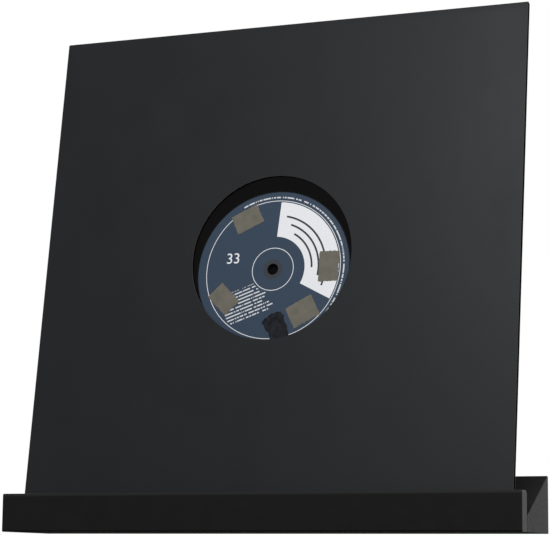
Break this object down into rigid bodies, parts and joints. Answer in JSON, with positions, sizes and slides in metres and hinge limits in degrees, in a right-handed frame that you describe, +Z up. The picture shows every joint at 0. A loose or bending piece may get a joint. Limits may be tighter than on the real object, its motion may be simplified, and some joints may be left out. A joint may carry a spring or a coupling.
{
  "type": "wall-mounted record ledge",
  "caption": "Short black wall ledge with a V groove that holds a twelve-inch record leaning in a card sleeve with a round window.",
  "frame": {"origin": "centre of the ledge's flat back face, on the wall plane", "axes": "+X along the ledge to the viewer's right, +Y into the wall, +Z up"},
  "size_m": [0.332, 0.06, 0.3238],
  "materials": {
    "lip_paint": "satin black paint over fine-grained board",
    "block_paint": "satin black paint over fine-grained board",
    "beech": "raw beech",
    "plate_steel": "bright zinc plate",
    "screw_steel": "yellow zinc plate",
    "black_card": "matt black card",
    "vinyl": "gloss black with fine concentric grooves",
    "label_paper": "printed satin paper, slate and off-white",
    "tape_paper": "brown paper tape"
  },
  "bodies": {
    "rack": {"lip_board": "lip_paint", "ramp_block": "block_paint", "lip_dowels": "beech", "hanger_plate_left": "plate_steel", "hanger_plate_right": "plate_steel", "hanger_screws": "screw_steel"},
    "sleeve": {"sleeve_front_panel": "black_card", "sleeve_back_panel": "black_card", "sleeve_spine_fold": "black_card", "sleeve_top_flap": "black_card", "sleeve_bottom_flap": "black_card"},
    "record": {"vinyl_disc": "vinyl", "label_front": "label_paper", "label_back": "label_paper", "label_tapes": "tape_paper"}
  },
  "joints": [
    {"name": "sleeve_lift", "type": "slide", "parent": "rack", "child": "sleeve", "axis": [0, 0, 1], "range_m": [0, 0.06]},
    {"name": "record_slide", "type": "slide", "parent": "sleeve", "child": "record", "axis": [1, 0, 0], "range_m": [0, 0.32]}
  ]
}
